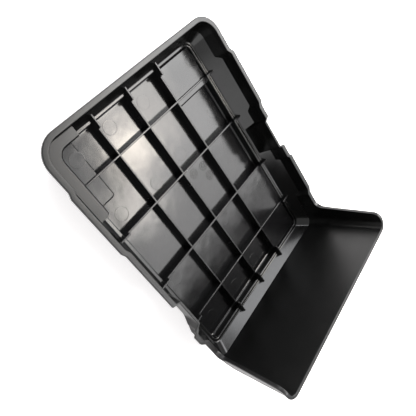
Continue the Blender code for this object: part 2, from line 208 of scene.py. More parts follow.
def soften(piece: bpy.types.Object, radius: float, steps: int = 2, degrees: float = 30.0) -> None:
    """Round the edges that turn by more than an angle, and apply the modifier."""
    activate(piece)
    bevel = piece.modifiers.new("mould_radius", "BEVEL")
    bevel.width = radius
    bevel.segments = steps
    bevel.limit_method = "ANGLE"
    bevel.angle_limit = math.radians(degrees)
    bpy.ops.object.modifier_apply(modifier=bevel.name)


def smooth(piece: bpy.types.Object, degrees: float = 40.0) -> None:
    """Shade smooth below an angle, with large faces kept flat."""
    activate(piece)
    bpy.ops.object.shade_smooth_by_angle(angle=math.radians(degrees))
    weighted = piece.modifiers.new("flat_faces", "WEIGHTED_NORMAL")
    weighted.keep_sharp = True
    bpy.ops.object.modifier_apply(modifier=weighted.name)


def finish_piece(piece: bpy.types.Object, nodes: Iterable[str] = ()) -> bpy.types.Object:
    """Let a piece ride on the cover's body and the CAD nodes it stands for."""
    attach(piece, BODY)
    if nodes:
        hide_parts(*nodes)
    log.info("built %s, %d faces", piece.name, len(piece.data.polygons))
    return piece


def dress_all(pieces: Iterable[bpy.types.Object], finish: "Moulded") -> None:
    """Give pieces one finish and slot; one with the prefix stands for the CAD node it is named after."""
    material = finish.material()
    for piece in pieces:
        piece.data.materials.append(material)
        nodes = [piece.name.removeprefix(PREFIX)] if piece.name.startswith(PREFIX) else []
        finish_piece(piece, nodes)


def copy_at(first: bpy.types.Object, name: str, place: Matrix) -> bpy.types.Object:
    """Copy a piece that was modelled at the origin, with a mesh of its own moved to its place."""
    copy = first.copy()
    copy.data = first.data.copy()
    bpy.context.scene.collection.objects.link(copy)
    copy.name = name
    copy.data.transform(place)
    smooth(copy, 60.0)
    return copy


def rounded(corners: Sequence[Vector], radii: Sequence[float], steps: int = 3) -> list[Vector]:
    """Round the inner corners of an open line.

    Args:
        corners: the line's sharp points.
        radii: a radius for each point; the first and last are not used.
        steps: how many segments each round corner gets.

    Returns:
        The points of the rounded line, always the same number for the same input lengths.
    """
    line = [corners[0]]
    for index in range(1, len(corners) - 1):
        here = corners[index]
        back = corners[index - 1] - here
        ahead = corners[index + 1] - here
        turn = math.pi - back.angle(ahead, 0.0)
        trim = radii[index] * math.tan(0.5 * turn)
        trim = min(trim, 0.42 * back.length, 0.42 * ahead.length)
        start = here + back.normalized() * trim
        stop = here + ahead.normalized() * trim
        for k in range(steps + 1):
            t = k / steps
            line.append(start * (1 - t) ** 2 + here * (2 * t * (1 - t)) + stop * t ** 2)
    line.append(corners[-1])
    return line


def share(value: float, start: float, end: float) -> float:
    """How far a value has gone from start to end, kept between 0 and 1."""
    return min(1.0, max(0.0, (value - start) / (end - start)))


def eased(value: float, start: float, end: float) -> float:
    """The same with a soft start and end, as a radiused jog has."""
    t = share(value, start, end)
    return t * t * (3.0 - 2.0 * t)


# Plan of the shell


@dataclass(frozen=True)
class Level:
    """One closed plan of the shell: half width, reaches and corner radii at a height."""

    half: float
    back: float
    front: float
    back_corner: float
    front_corner: float
    z: float

    def grown(self, by: float) -> "Level":
        """The same plan moved outwards."""
        return Level(self.half + by, self.back + by, self.front + by,
                     self.back_corner + by, self.front_corner + by, self.z)

    def at(self, z: float) -> "Level":
        """The same plan at another height."""
        return replace(self, z=z)

    def mixed(self, other: "Level", t: float, z: float) -> "Level":
        """A plan between this one and another."""
        pairs = zip(astuple(self)[:-1], astuple(other)[:-1])
        return Level(*(a + (b - a) * t for a, b in pairs), z)

    def side_end(self, end: int) -> float:
        """Y at which a side's straight stretch ends, at the back (1) or the front (-1)."""
        return self.back - self.back_corner if end > 0 else -self.front + self.front_corner


@dataclass(frozen=True)
class Notch:
    """A notch in one side skirt, with the plain stretches of rim beside it."""

    back: float
    front: float
    rear_lap: float
    front_lap: float
    top_step: float


@dataclass(frozen=True)
class Bulge:
    """How far a side skirt stands out along the rear, beside the notch and along the front."""

    rear: float
    middle: float
    front: float


@dataclass(frozen=True)
class Station:
    """A place round the plan where the shell's section is taken."""

    stretch: Stretch
    side: int
    end: int
    low: float
    high: float
    edge: float
    lean: tuple[float, float] = (0.0, 1.0)

    def on(self, level: Level, place: float) -> Vector:
        """The point of a level at a place: y on a side, a share of the turn or of the straight."""
        if self.stretch is Stretch.SIDE:
            return Vector((self.side * level.half, place, level.z))
        corner = level.back_corner if self.end > 0 else level.front_corner
        reach = level.back if self.end > 0 else level.front
        if self.stretch is Stretch.END:
            return Vector((place * (level.half - corner), self.end * reach, level.z))
        angle = QUARTER * place
        x = level.half - corner + corner * math.cos(angle)
        y = reach - corner + corner * math.sin(angle)
        return Vector((self.side * x, self.end * y, level.z))


@dataclass
class ShellPlan:
    """Sizes of the shell, read from the frame's boxes, and what the frame doesn't say."""

    wall: float = 2.5 * MM
    rim_thick: float = 2.3 * MM
    recess_corner: float = 5.0 * MM
    ledge_corner: float = 8.0 * MM
    shoulder_corner_back: float = 13.0 * MM
    shoulder_corner_front: float = 8.5 * MM
    skirt_corner_back: float = 15.0 * MM
    back_jog: float = 90.0 * MM
    front_jog: float = -84.0 * MM
    jog: float = 6.0 * MM
    notch_ramp: float = 3.0 * MM
    notch_foot_step: float = 6.0 * MM
    notch_drop: float = 9.0 * MM
    cheek_start: float = -97.0 * MM
    cheek_fillet: float = 10.0 * MM
    cheek_lean: float = 8.5 * MM
    cheek_spread: float = 1.3 * MM
    apron_corner: float = 6.0 * MM
    crown_corner: float = 5.5 * MM
    apron_rim: float = 3.3 * MM
    bulges: dict[int, Bulge] = field(default_factory=lambda: {
        1: Bulge(3.0 * MM, 0.5 * MM, 2.8 * MM), -1: Bulge(1.7 * MM, 0.0 * MM, 3.4 * MM)})
    notches: dict[int, Notch] = field(default_factory=lambda: {
        1: Notch(12.5 * MM, -17 * MM, 12 * MM, 12 * MM, 3.0 * MM),
        -1: Notch(-36 * MM, -63.5 * MM, 59 * MM, 0.5 * MM, 4.5 * MM)})

    def __post_init__(self) -> None:
        """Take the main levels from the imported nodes."""
        panel_low, panel_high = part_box("outer_panel")
        _, ledge_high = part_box("ledge")
        ledge_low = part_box("ledge")[0]
        shoulder_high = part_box("shoulder_back")[1]
        shoulder_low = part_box("shoulder_front")[0]
        skirt_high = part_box("skirt_back")[1]
        rim_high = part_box("rim_back")[1]
        apron_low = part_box("apron_panel")[0]
        w = self.wall
        self.panel_z = panel_high.z
        self.ledge_z = ledge_high.z
        self.shoulder_z = shoulder_high.z
        self.rim_z = rim_high.z
        self.apron_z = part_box("rim_apron")[1].z
        self.recess = Level(panel_high.x - w, panel_high.y - w, -panel_low.y - w,
                            self.recess_corner, self.recess_corner, self.panel_z)
        self.ledge = Level(ledge_high.x - w, ledge_high.y - w, -ledge_low.y - w,
                           self.ledge_corner, self.ledge_corner, self.ledge_z)
        self.shoulder = Level(shoulder_high.x - w, shoulder_high.y - w, -shoulder_low.y - w,
                              self.shoulder_corner_back, self.shoulder_corner_front, self.shoulder_z)
        self.skirt = Level(skirt_high.x - w, skirt_high.y - w, self.shoulder.front,
                           self.skirt_corner_back, self.shoulder_corner_front, self.rim_z)
        self.rim_width = rim_high.x - self.skirt.half
        self.slope = (self.shoulder_z - self.ledge_z) / (self.shoulder.half - self.ledge.half)
        self.apron_lean = -apron_low.y - w - self.shoulder.front

    def breaks(self, side: int) -> list[float]:
        """The places along a side where its plan turns, from the front to the back."""
        n = self.notches[side]
        rear_end = n.back + self.notch_ramp + n.rear_lap
        front_end = n.front - self.notch_ramp - n.front_lap
        return [self.front_jog, self.front_jog + self.jog,
                front_end - self.jog * 0.5, front_end,
                n.front - self.notch_ramp, n.front,
                n.back, n.back + self.notch_ramp,
                rear_end, rear_end + self.jog,
                self.back_jog - self.jog, self.back_jog]

    def bulge(self, side: int, y: float) -> float:
        """How far the skirt stands out of its plain line."""
        b = self.breaks(side)
        out = self.bulges[side]
        amount = out.front * eased(y, b[0], b[1])
        amount += (out.middle - out.front) * eased(y, b[2], b[3])
        amount += (out.rear - out.middle) * eased(y, b[8], b[9])
        return amount - out.rear * eased(y, b[10], b[11])

    def notched(self, side: int, y: float) -> float:
        """1 inside the side's notch, 0 outside it, sloping between."""
        b = self.breaks(side)
        return eased(y, b[4], b[5]) * (1.0 - eased(y, b[6], b[7]))

    def wall_level(self, z: float) -> Level:
        """Plan of the walls above the shoulder at a height: skirts, cheeks and apron."""
        t = share(z, self.shoulder_z, self.rim_z)
        level = self.shoulder.mixed(self.skirt, t, z)
        over = share(z, self.rim_z, self.apron_z)
        tight = share(z, self.shoulder_z, self.rim_z + self.cheek_fillet)
        corner = self.shoulder_corner_front + (self.apron_corner - self.shoulder_corner_front) * tight
        reach = self.shoulder.front + self.apron_lean * share(z, self.shoulder_z, self.apron_z)
        return replace(level, half=level.half + self.cheek_spread * over, front=reach, front_corner=corner)

    def side_places(self, side: int) -> list[float]:
        """Places along a side's skirt, close together where its plan turns."""
        b = self.breaks(side)
        start, end = self.cheek_start, self.shoulder.side_end(1)
        places = {start, end}
        for low, high in zip(b[::2], b[1::2]):
            steps = 8
            places.update(low + (high - low) * k / steps for k in range(steps + 1))
        ordered = sorted(places)
        filled = []
        for low, high in zip(ordered, ordered[1:]):
            parts = max(1, round((high - low) / (9.0 * MM)))
            filled += [low + (high - low) * k / parts for k in range(parts)]
        return [y for y in filled if y > start + 1e-6] + [end]

    def cheek_edge(self) -> list[tuple[float, float]]:
        """Free edge of a cheek under its rim, from the side rim up to the apron's top, as (y, z)."""
        low = self.rim_z - self.rim_thick
        high = self.apron_z - self.rim_thick
        steps = 8
        turns = [QUARTER * k / steps for k in range(steps + 1)]
        foot = [(self.cheek_start - self.cheek_fillet * math.sin(a),
                 low + self.cheek_fillet * (1.0 - math.cos(a))) for a in turns]
        top_y = foot[-1][0] - self.cheek_lean
        crown = [(top_y - self.crown_corner * (1.0 - math.cos(a)),
                  high - self.crown_corner * (1.0 - math.sin(a))) for a in turns]
        upright = [(foot[-1][0] + (crown[0][0] - foot[-1][0]) * k / 6,
                    foot[-1][1] + (crown[0][1] - foot[-1][1]) * k / 6) for k in range(1, 6)]
        return foot + upright + crown

    def stations(self) -> list[Station]:
        """Every station round the plan, anticlockwise from the middle of the back."""
        low_edge = self.rim_z - self.rim_thick
        high_edge = self.apron_z - self.rim_thick
        edge = self.cheek_edge()
        arc_start = self.shoulder.side_end(-1)
        leaned = []
        for k, (y, z) in enumerate(edge):
            before, after = edge[max(k - 1, 0)], edge[min(k + 1, len(edge) - 1)]
            along = Vector((after[0] - before[0], after[1] - before[1])).normalized()
            if k in (0, len(edge) - 1):
                along = Vector((-1.0, 0.0))
            gone = share(y, self.cheek_start, edge[-1][0])
            foot_y = self.cheek_start + (arc_start - self.cheek_start) * gone
            foot_y = max(y, foot_y) if z < self.rim_z + self.cheek_fillet else foot_y
            leaned.append((foot_y, y, z, (along[1], -along[0])))
        corner = [k / 9 for k in range(1, 9)]
        straight = [k / 7 for k in range(-7, 8)]
        ring = [Station(Stretch.END, 1, 1, -t, -t, low_edge) for t in straight]
        ring += [Station(Stretch.CORNER, -1, 1, 1 - t, 1 - t, low_edge) for t in corner]
        ring += [Station(Stretch.SIDE, -1, 1, y, y, low_edge) for y in self.side_places(-1)[::-1]]
        ring += [Station(Stretch.SIDE, -1, -1, f, y, z, n) for f, y, z, n in leaned]
        ring += [Station(Stretch.CORNER, -1, -1, t, t, high_edge) for t in [0.0] + corner]
        ring += [Station(Stretch.END, 1, -1, t, t, high_edge) for t in straight]
        ring += [Station(Stretch.CORNER, 1, -1, 1 - t, 1 - t, high_edge) for t in corner + [1.0]]
        ring += [Station(Stretch.SIDE, 1, -1, f, y, z, n) for f, y, z, n in leaned[::-1]]
        ring += [Station(Stretch.SIDE, 1, 1, y, y, low_edge) for y in self.side_places(1)]
        ring += [Station(Stretch.CORNER, 1, 1, t, t, low_edge) for t in corner]
        return ring

    def fitted(self, station: Station, level: Level) -> float:
        """A station's place on a level whose straight side is shorter than the shoulder's."""
        if station.stretch is not Stretch.SIDE:
            return station.low
        y = station.low
        back, front = self.shoulder.side_end(1), self.shoulder.side_end(-1)
        if y > self.back_jog:
            return self.back_jog + (level.side_end(1) - self.back_jog) * share(y, self.back_jog, back)
        if y < self.cheek_start:
            t = share(-y, -self.cheek_start, -front)
            return self.cheek_start + (level.side_end(-1) - self.cheek_start) * t
        return y

    def low_point(self, station: Station, level: Level) -> Vector:
        """A point of the recess or the ledge."""
        return station.on(level, self.fitted(station, level))

    def wall_point(self, station: Station, t: float, out: float = 0.0) -> Vector:
        """A point of the skirts, cheeks or apron.

        Args:
            station: where round the plan.
            t: 0 at the shoulder, 1 at the free edge under the rim.
            out: how far outside the inner face.

        Returns:
            The point, with jogs and notches worked in.
        """
        z = self.shoulder_z + (station.edge - self.shoulder_z) * t
        place = station.low + (station.high - station.low) * t
        level = self.wall_level(z)
        if station.stretch is Stretch.SIDE and place > self.back_jog:
            place = self.back_jog + (level.side_end(1) - self.back_jog) * share(
                place, self.back_jog, self.shoulder.side_end(1))
        point = station.on(level.grown(out), place)
        if station.stretch is Stretch.SIDE:
            notch = self.notched(station.side, place)
            plain = self.bulge(station.side, place) * (1.0 - notch)
            step = self.notch_foot_step + (self.notches[station.side].top_step - self.notch_foot_step) * t
            point.x += station.side * (plain - step * notch)
            point.z += (self.slope * plain - self.notch_drop * notch) * (1.0 - t)
        return point

    def rim_span(self, station: Station) -> float:
        """Width of the rim at a station: narrower round the apron, only the wall at a notch."""
        apron = share(station.edge, self.rim_z, self.rim_z + self.cheek_fillet)
        width = self.rim_width + (self.apron_rim - self.rim_width) * apron
        if station.stretch is Stretch.SIDE:
            notch = self.notched(station.side, station.high)
            width += (self.wall - width) * notch
        return width


@dataclass
class Shell:
    """The seamless shell of the cover."""

    plan: ShellPlan
    floor_radius: float = 4.0 * MM
    ledge_inner_radius: float = 1.5 * MM
    ledge_outer_radius: float = 2.2 * MM
    shoulder_radius: float = 1.0 * MM
    rim_radius: float = 0.8 * MM
    outer_radius: float = 2.0 * MM
    lip_radii: tuple[float, float] = (0.4 * MM, 0.3 * MM)
    outside_radii: tuple[float, float, float] = (1.2 * MM, 0.5 * MM, 1.2 * MM)
    floor_lap: float = 4.9 * MM
    base_lap: float = 1.0 * MM
    lip_step: float = 0.02 * MM
    wall_rows: int = 7
    piece: bpy.types.Object | None = None

    def section(self, station: Station) -> list[Vector]:
        """The shell's section at a station, from the panel's inner edge round to its outer edge."""
        p = self.plan
        lean = Vector((0.0, station.lean[0], station.lean[1])) * p.rim_thick
        width = p.rim_span(station)
        corners = [
            p.low_point(station, p.recess.grown(-self.floor_lap)),
            p.low_point(station, p.recess),
            p.low_point(station, p.recess.at(p.ledge_z)),
            p.low_point(station, p.ledge),
        ]
        radii = [0.0, self.floor_radius, self.ledge_inner_radius, self.ledge_outer_radius]
        inside = [p.wall_point(station, k / self.wall_rows) for k in range(self.wall_rows)]
        outside = [p.wall_point(station, k / self.wall_rows, p.wall) for k in range(self.wall_rows)]
        corners += inside
        radii += [self.shoulder_radius] + [0.0] * (self.wall_rows - 1)
        corners += [
            p.wall_point(station, 1.0) + lean,
            p.wall_point(station, 1.0, width) + lean,
            p.wall_point(station, 1.0, width),
            p.wall_point(station, 1.0, min(p.wall, width - self.lip_step)),
        ]
        radii += [self.rim_radius, self.rim_radius, *self.lip_radii]
        corners += outside[::-1]
        radii += [0.0] * (self.wall_rows - 1) + [self.outer_radius]
        foot = p.ledge_z - p.wall
        corners += [
            p.low_point(station, p.ledge.grown(p.wall).at(foot)),
            p.low_point(station, p.recess.grown(p.wall).at(foot)),
            p.low_point(station, p.recess.grown(p.wall).at(0.0)),
            p.low_point(station, p.recess.grown(-self.base_lap).at(0.0)),
        ]
        radii += [*self.outside_radii, 0.0]
        return self.round_section(corners, radii)

    def round_section(self, corners: list[Vector], radii: list[float]) -> list[Vector]:
        """Round the corners that have a radius and keep the others as single points."""
        line = [corners[0]]
        for index in range(1, len(corners) - 1):
            if radii[index] <= 0.0:
                line.append(corners[index])
                continue
            steps = 6 if radii[index] >= self.shoulder_radius else 4
            turn = rounded(corners[index - 1:index + 2], [0.0, radii[index], 0.0], steps)
            line += turn[1:-1]
        line.append(corners[-1])
        return line

    def zones(self, sections: list[list[Vector]]) -> list[Zone]:
        """The finish zone of each band of the section."""
        rows = len(sections[0]) - 1
        bands = []
        p = self.plan
        back = sections[0]
        rim_low = p.rim_z - 1.9 * MM
        for row in range(rows):
            middle = (back[row] + back[row + 1]) * 0.5
            inside = row < rows * 0.5
            if middle.z > rim_low:
                bands.append(Zone.RIM)
            elif inside and middle.z < p.panel_z + 0.2 * MM:
                bands.append(Zone.PANEL)
            elif inside:
                bands.append(Zone.WALL)
            else:
                bands.append(Zone.OUTSIDE)
        return bands

    def build(self) -> bpy.types.Object:
        """Pull the section round the plan, one band after the other, and close both panels."""
        sections = [self.section(station) for station in self.plan.stations()]
        loops = [list(row) for row in zip(*sections)]
        self.piece = loft("cover_shell", loops, self.zones(sections))
        smooth(self.piece, 50.0)
        return self.piece

    def dress(self, finishes: dict[Zone, "Moulded"]) -> None:
        """Give each zone its finish, and the apron's inside its own."""
        materials = {zone: finishes[zone].material() for zone in Zone}
        for zone in Zone:
            self.piece.data.materials.append(materials[zone])
        p = self.plan
        for face in self.piece.data.polygons:
            if face.material_index == Zone.WALL.value and face.center.y < p.cheek_start \
                    and face.center.z > p.shoulder_z:
                face.material_index = Zone.APRON.value
            if len(face.vertices) > 20:
                face.material_index = Zone.PANEL.value if face.center.z > 1.0 * MM else Zone.OUTSIDE.value
        nodes = ["outer_panel", "recess_riser", "ledge", "apron_panel", "rim_apron", "rim_back"]
        starts = ("shoulder_", "skirt_", "cheek_", "rim_left", "rim_right", "rim_cheek", "notch")
        nodes += [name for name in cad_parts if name.startswith(starts)]
        finish_piece(self.piece, sorted(set(nodes)))


# Ribs, lands and marks


@dataclass
class RibGrid:
    """The grid of stiffening ribs: each runs over the ledge and up the shoulder at its ends."""

    plan: ShellPlan
    thick: float = 1.8 * MM
    end_rise: float = 4.4 * MM
    side_length: float = 3.5 * MM
    back_length: float = 5.5 * MM
    front_length: float = 7.0 * MM
    depth: float = 8.5 * MM
    long_drop: float = 0.02 * MM
    end_ramp: float = 0.5 * MM
    edge_radius: float = 0.5 * MM
    sink: float = 0.3 * MM
    pieces: list[bpy.types.Object] = field(default_factory=list)

    def end_line(self, place: float, length: float, sign: int, ledge: float, slope: float,
                 top: float) -> list[tuple[float, float]]:
        """The stepped end of a rib in side view, from the recess's foot outwards and back."""
        p = self.plan
        raised = top + self.end_rise
        foot = place + sign * ledge
        tip = foot + sign * (raised - p.ledge_z) * slope
        return [(place + sign * self.sink, p.panel_z - self.sink),
                (place + sign * self.sink, p.ledge_z - self.sink),
                (foot + sign * self.sink, p.ledge_z - self.sink),
                (tip + sign * self.sink, raised),
                (place - sign * length, raised),
                (place - sign * (length + self.end_ramp), top)]

    def outline(self, low: tuple[float, float], high: tuple[float, float], ledge: float, slope: float,
                top: float, plain_start: bool) -> list[tuple[float, float]]:
        """Side view of a whole rib as (along, height); each end is (place, raised length)."""
        start = self.end_line(*low, -1, ledge, slope, top)[::-1]
        if plain_start:
            edge = low[0] - self.sink
            start = [(edge, top), (edge, self.plan.panel_z - self.sink)]
        return start + self.end_line(*high, 1, ledge, slope, top)

    def build(self) -> list[bpy.types.Object]:
        """Build each rib where its CAD node lies."""
        p = self.plan
        rise = p.shoulder_z - p.ledge_z
        side_run = (p.ledge.half - p.recess.half, (p.shoulder.half - p.ledge.half) / rise)
        end_run = (p.ledge.back - p.recess.back, (p.shoulder.back - p.ledge.back) / rise)
        for name in sorted(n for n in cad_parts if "_rib_" in n):
            low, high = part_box(name)
            middle = (low + high) * 0.5
            plain = name == "cross_rib_1"
            top = p.panel_z + self.depth
            if name.startswith("long"):
                ends = ((-p.recess.front, self.front_length), (p.recess.back, self.back_length))
                side_view = self.outline(*ends, *end_run, top - self.long_drop, False)
                points = [Vector((middle.x - 0.5 * self.thick, y, z)) for y, z in side_view]
                shift = Vector((self.thick, 0.0, 0.0))
            else:
                ends = ((-p.recess.half, self.side_length), (p.recess.half, self.side_length))
                side_view = self.outline(*ends, *side_run, top, plain)
                points = [Vector((x, middle.y - 0.5 * self.thick, z)) for x, z in side_view]
                shift = Vector((0.0, self.thick, 0.0))
            piece = prism(PREFIX + name, points, shift)
            soften(piece, self.edge_radius, 3)
            smooth(piece)
            self.pieces.append(piece)
        return self.pieces

    def dress(self, finish: "Moulded") -> None:
        """Give every rib the same moulded finish."""
        dress_all(self.pieces, finish)


@dataclass
class Lands:
    """The raised lands on the panel; the sides that meet a rib or the riser run on under it."""

    plan: ShellPlan
    chamfer: float = 1.2 * MM
    edge_radius: float = 0.25 * MM
    corner_radius: float = 3.0 * MM
    overlap: float = 1.7 * MM
    sink: float = 0.3 * MM
    free_right: tuple[str, ...] = ("land_side_rear", "land_side_front")
    free_front: tuple[str, ...] = ("land_side_front", "land_back_right_step")
    pieces: list[bpy.types.Object] = field(default_factory=list)

    def corners(self, name: str) -> list[Vector]:
        """The land's plan, grown where it meets a rib or the riser."""
        low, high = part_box(name)
        sunk = self.plan.panel_z - self.sink
        left, back = low.x - self.overlap, high.y + self.overlap
        right = high.x + (0.0 if name in self.free_right else self.overlap)
        front = low.y - (0.0 if name in self.free_front else self.overlap)
        return [Vector((left, front, sunk)), Vector((right, front, sunk)),
                Vector((right, back, sunk)), Vector((left, back, sunk))]

    def build(self) -> list[bpy.types.Object]:
        """Build each land where its CAD node lies, with radiused corners and edges."""
        for name in sorted(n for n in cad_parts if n.startswith("land_")):
            outline = self.corners(name)
            if name == "land_side_front":
                outline[1:2] = rounded(outline[0:3], [0.0, self.corner_radius, 0.0], 8)[1:-1]
            rise = Vector((0.0, 0.0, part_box(name)[1].z - outline[0].z))
            piece = prism(PREFIX + name, outline, rise)
            soften(piece, self.chamfer, 1)
            soften(piece, self.edge_radius, 2)
            smooth(piece)
            self.pieces.append(piece)
        return self.pieces

    def dress(self, finish: "Moulded") -> None:
        """Give every land the panel's finish."""
        dress_all(self.pieces, finish)


@dataclass
class CornerPad:
    """The pad on the back left corner, which fills the ledge and the foot of the shoulder."""

    plan: ShellPlan
    chamfer: float = 1.2 * MM
    edge_radius: float = 0.3 * MM
    end_radius: float = 3.0 * MM
    sink: float = 0.4 * MM
    piece: bpy.types.Object | None = None

    def build(self) -> bpy.types.Object:
        """Sweep the pad's section from its side end round the corner to its back end."""
        p = self.plan
        low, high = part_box("corner_pad")
        climb = (high.z - p.ledge_z) / (p.shoulder_z - p.ledge_z)
        tip = p.ledge.mixed(p.shoulder, climb, high.z).grown(self.sink)
        inner = replace(p.recess, back_corner=p.ledge_corner)
        low_z = p.ledge_z - self.sink
        c = self.chamfer
        levels = [inner.at(low_z), inner.at(high.z - c), inner.grown(c).at(high.z), tip.grown(-c),
                  tip.at(high.z - c), p.ledge.grown(self.sink).at(low_z)]
        rows = []
        for index, level in enumerate(levels):
            row = []
            for k in range(5):
                angle = QUARTER * k / 4
                trim = self.end_radius * (1.0 - math.sin(angle)) if index < 3 else 0.0
                place = low.y + self.end_radius * (1.0 - math.cos(angle))
                row.append(Vector((-level.half - trim, place, level.z)))
            reach = p.recess.back - low.y
            row += [Vector((-level.half, low.y + reach * k / 6, level.z)) for k in range(1, 5)]
            row += [Station(Stretch.CORNER, -1, 1, k / 12, 0, 0).on(level, k / 12) for k in range(13)]
            row += [Vector((high.x, level.back, level.z))]
            rows.append(row)
        self.piece = loft(PREFIX + "corner_pad", [list(section) for section in zip(*rows)])
        soften(self.piece, self.edge_radius, 2, 35.0)
        smooth(self.piece, 40.0)
        return self.piece

    def dress(self, finish: "Moulded") -> None:
        """Give the pad the rim's fine grain."""
        dress_all([self.piece], finish)


@dataclass
class EjectorMarks:
    """Round marks that the mould's ejector pins left on the panel and the lands."""

    plan: ShellPlan
    radius: float = 6.5 * MM
    ridge: float = 0.45 * MM
    rise: float = 0.06 * MM
    places: tuple[tuple[float, float], ...] = (
        (75.5, 99.6), (12.0, 97.4), (-28.0, 99.5), (-70.0, 98.0),
        (-68.0, 41.0), (-25.0, 38.0), (12.5, 41.0), (71.0, 48.0),
        (-68.0, -39.0), (-23.0, -38.0), (10.0, -40.0), (71.0, -44.0),
        (-66.0, -98.5), (-24.0, -101.0), (11.0, -101.0), (74.0, -105.5))
    pieces: list[bpy.types.Object] = field(default_factory=list)

    def ground(self, x: float, y: float) -> float:
        """Height of the panel or of the land under a place."""
        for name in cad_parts:
            if name.startswith("land_"):
                low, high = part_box(name)
                if low.x < x < high.x and low.y < y < high.y:
                    return high.z
        return self.plan.panel_z

    def first(self) -> bpy.types.Object:
        """Model one mark at the origin: a low disc with a fine ridge round it."""
        deselect_all()
        bpy.ops.mesh.primitive_cylinder_add(vertices=64, radius=self.radius, depth=2.0 * self.rise)
        piece = bpy.context.object
        bpy.ops.object.mode_set(mode="EDIT")
        bpy.ops.mesh.select_mode(type="FACE")
        bpy.ops.mesh.select_all(action="DESELECT")
        bm = bmesh.from_edit_mesh(piece.data)
        for face in bm.faces:
            face.select_set(face.normal.z > 0.9)
        bmesh.update_edit_mesh(piece.data)
        bpy.ops.mesh.inset(thickness=self.ridge, depth=0.0)
        bpy.ops.mesh.inset(thickness=self.ridge, depth=-0.8 * self.rise)
        bpy.ops.object.mode_set(mode="OBJECT")
        soften(piece, 0.12 * MM, 2, 10.0)
        return piece

    def build(self) -> list[bpy.types.Object]:
        """Model one mark and copy it to each place."""
        first = self.first()
        for number, (x, y) in enumerate(self.places, start=1):
            x, y = x * MM, y * MM
            place = Matrix.Translation((x, y, self.ground(x, y)))
            self.pieces.append(copy_at(first, f"ejector_mark_{number}", place))
        bpy.data.objects.remove(first, do_unlink=True)
        return self.pieces

    def dress(self, finish: "Moulded") -> None:
        """Give the marks the panel's finish."""
        dress_all(self.pieces, finish)


@dataclass
class MouldDials:
    """Three small round dials of the mould: a ring, a pointer and plain ticks."""

    plan: ShellPlan
    radius: float = 4.2 * MM
    ring: float = 0.5 * MM
    rise: float = 0.18 * MM
    turn: float = 0.7
    places: tuple[tuple[float, float], ...] = ((11.7, 17.7), (25.5, 16.1), (25.8, 4.3))
    pieces: list[bpy.types.Object] = field(default_factory=list)

    def bar(self, inner: float, outer: float, width: float, angle: float) -> bpy.types.Object:
        """One raised bar that points away from the dial's middle."""
        out = Vector((math.cos(angle), math.sin(angle), 0.0))
        across = Vector((-out.y, out.x, 0.0)) * width * 0.5
        base = Vector((0.0, 0.0, -self.rise))
        points = [out * inner - across + base, out * outer - across * 0.4 + base,
                  out * outer + across * 0.4 + base, out * inner + across + base]
        piece = prism("dial_bar", points, Vector((0.0, 0.0, 2.0 * self.rise)))
        soften(piece, 0.06 * MM, 1)
        return piece

    def circle(self, radius: float, width: float) -> bpy.types.Object:
        """One raised ring."""
        deselect_all()
        bpy.ops.mesh.primitive_torus_add(major_segments=48, minor_segments=8,
                                         major_radius=radius, minor_radius=0.5 * width)
        piece = bpy.context.object
        bpy.ops.object.mode_set(mode="EDIT")
        bpy.ops.mesh.select_all(action="SELECT")
        bpy.ops.transform.resize(value=(1.0, 1.0, 2.0 * self.rise / width))
        bpy.ops.object.mode_set(mode="OBJECT")
        return piece

    def first(self) -> bpy.types.Object:
        """Model one dial at the origin from its rings, ticks and pointer."""
        r = self.radius
        parts = [self.circle(r, self.ring), self.circle(0.42 * r, 0.8 * self.ring)]
        parts += [self.bar(0.56 * r, 0.86 * r, 0.5 * MM, k * math.pi / 4) for k in range(8)]
        parts.append(self.bar(-0.3 * r, 0.3 * r, 1.0 * MM, 0.8))
        deselect_all()
        for part in parts:
            part.select_set(True)
        bpy.context.view_layer.objects.active = parts[0]
        bpy.ops.object.join()
        return bpy.context.object

    def build(self) -> list[bpy.types.Object]:
        """Model one dial and copy it to each place."""
        first = self.first()
        for number, (x, y) in enumerate(self.places, start=1):
            place = Matrix.Translation((x * MM, y * MM, self.plan.panel_z))
            turn = Matrix.Rotation(self.turn * number, 4, "Z")
            self.pieces.append(copy_at(first, f"mould_dial_{number}", place @ turn))
        bpy.data.objects.remove(first, do_unlink=True)
        return self.pieces

    def dress(self, finish: "Moulded") -> None:
        """Give the dials the panel's finish."""
        dress_all(self.pieces, finish)


# Finishes


def linear(hex_colour: str) -> tuple[float, float, float, float]:
    """Turn an sRGB hex colour into linear light."""
    values = [int(hex_colour[k:k + 2], 16) / 255.0 for k in (1, 3, 5)]
    lin = [v / 12.92 if v <= 0.04045 else ((v + 0.055) / 1.055) ** 2.4 for v in values]
    return (lin[0], lin[1], lin[2], 1.0)


def add_node(tree: bpy.types.NodeTree, kind: str, settings: dict | None = None,
             inputs: dict | None = None) -> bpy.types.Node:
    """Add a node, set its properties, and set or link its inputs.

    Args:
        tree: the node tree.
        kind: the node's type name.
        settings: properties of the node.
        inputs: values or output sockets by input name or number.

    Returns:
        The new node.
    """
    node = tree.nodes.new(kind)
    for name, value in (settings or {}).items():
        setattr(node, name, value)
    for name, value in (inputs or {}).items():
        socket = node.inputs[name]
        if isinstance(value, bpy.types.NodeSocket):
            tree.links.new(value, socket)
        else:
            socket.default_value = value
    return node


